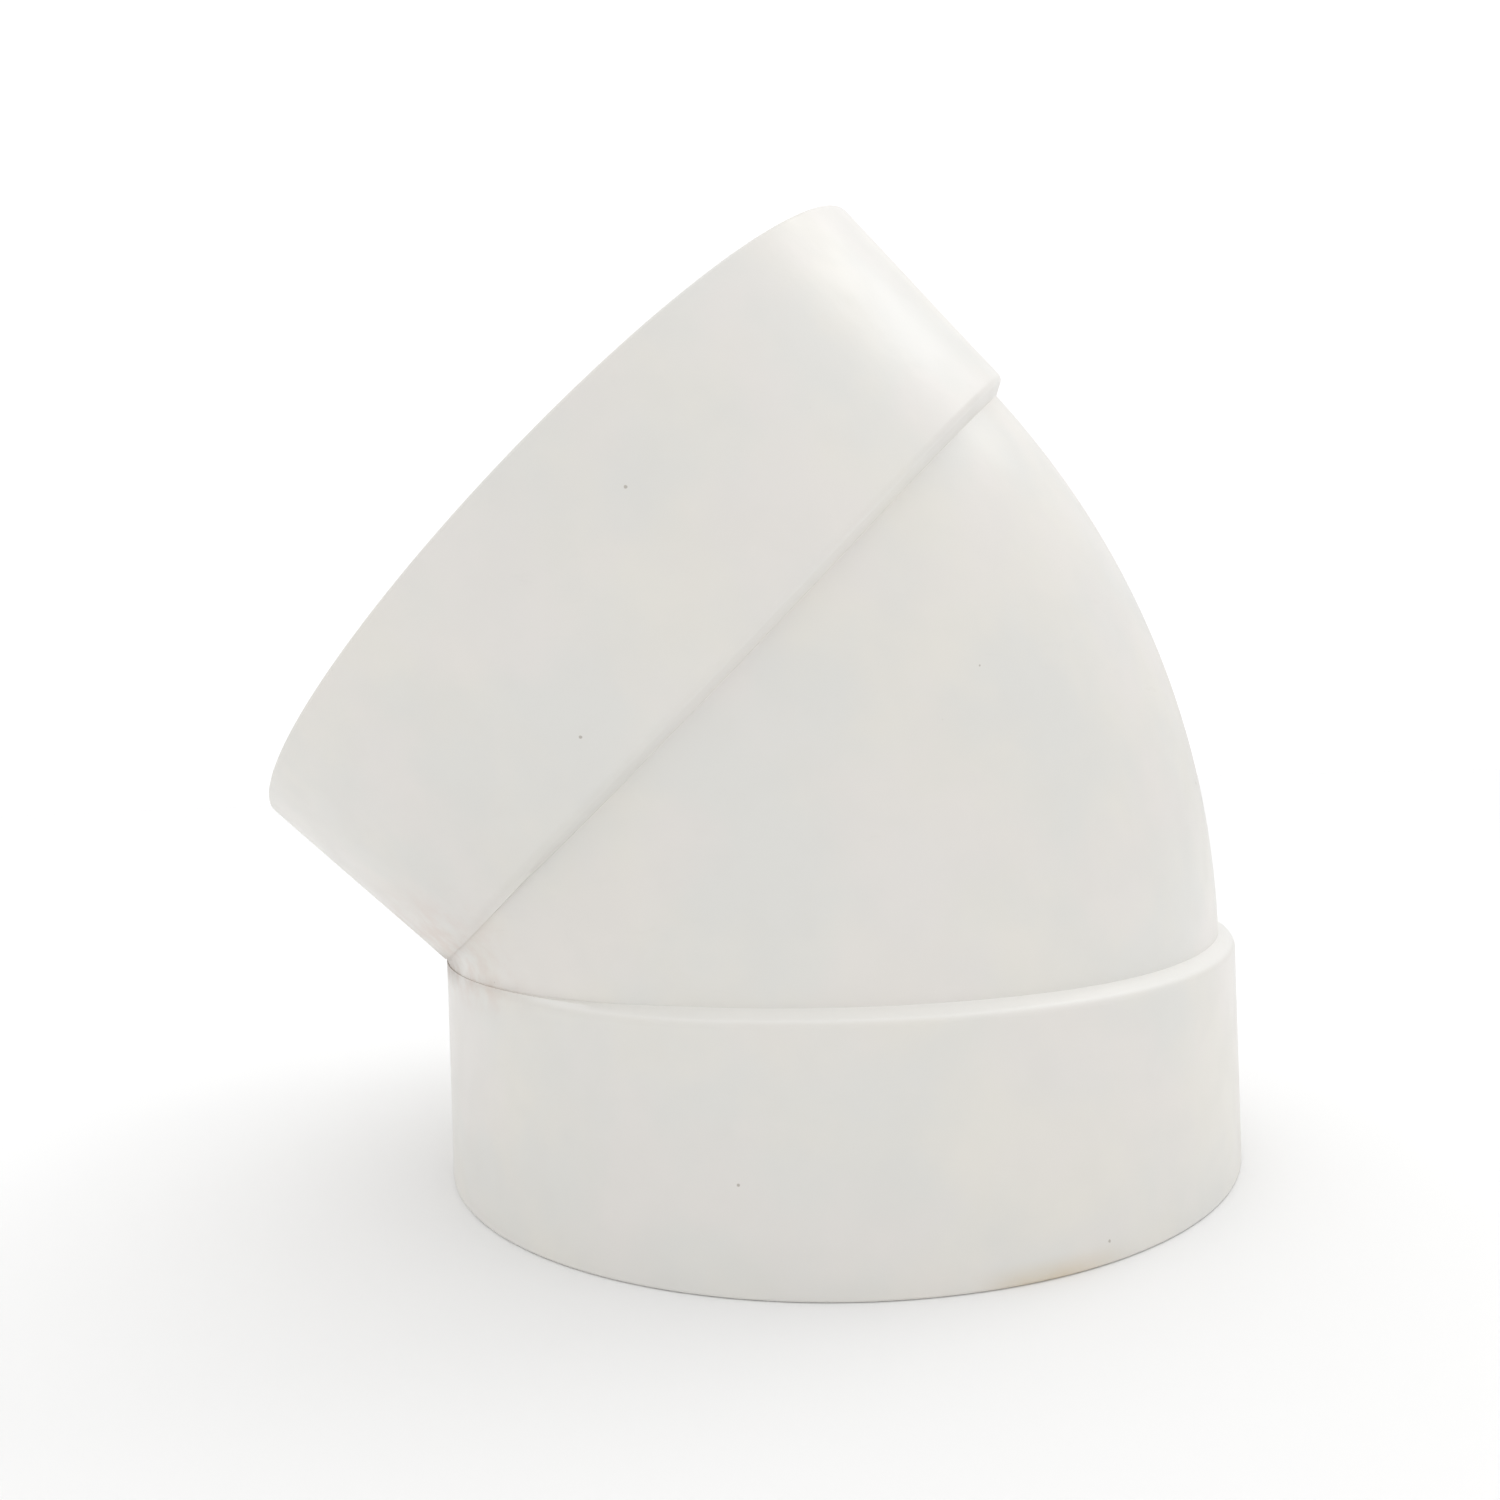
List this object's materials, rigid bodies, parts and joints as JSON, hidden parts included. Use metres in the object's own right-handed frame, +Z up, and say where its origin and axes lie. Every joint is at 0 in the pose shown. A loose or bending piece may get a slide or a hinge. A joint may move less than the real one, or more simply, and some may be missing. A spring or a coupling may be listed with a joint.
{
  "type": "45 degree pipe elbow",
  "caption": "Plain 45 degree drainage bend in off-white PVC with equal solvent-weld sockets at both ends and rounded collar shoulders.",
  "frame": {"origin": "on the plane of the lower mouth, under the middle of the part's outer box", "axes": "+Z up, along the lower socket's axis into the part; the bend lies in the XZ plane, and the upper mouth looks up and towards -X; +Y across the bend"},
  "size_m": [0.3106, 0.2628, 0.3015],
  "materials": {
    "socket_pvc": "satin moulded, handled, with fine scuffs",
    "bend_pvc": "satin moulded, with fine specks and scuffs"
  },
  "bodies": {
    "root": {"lower_socket": "socket_pvc", "bend_body": "bend_pvc", "upper_socket": "socket_pvc"}
  },
  "joints": []
}
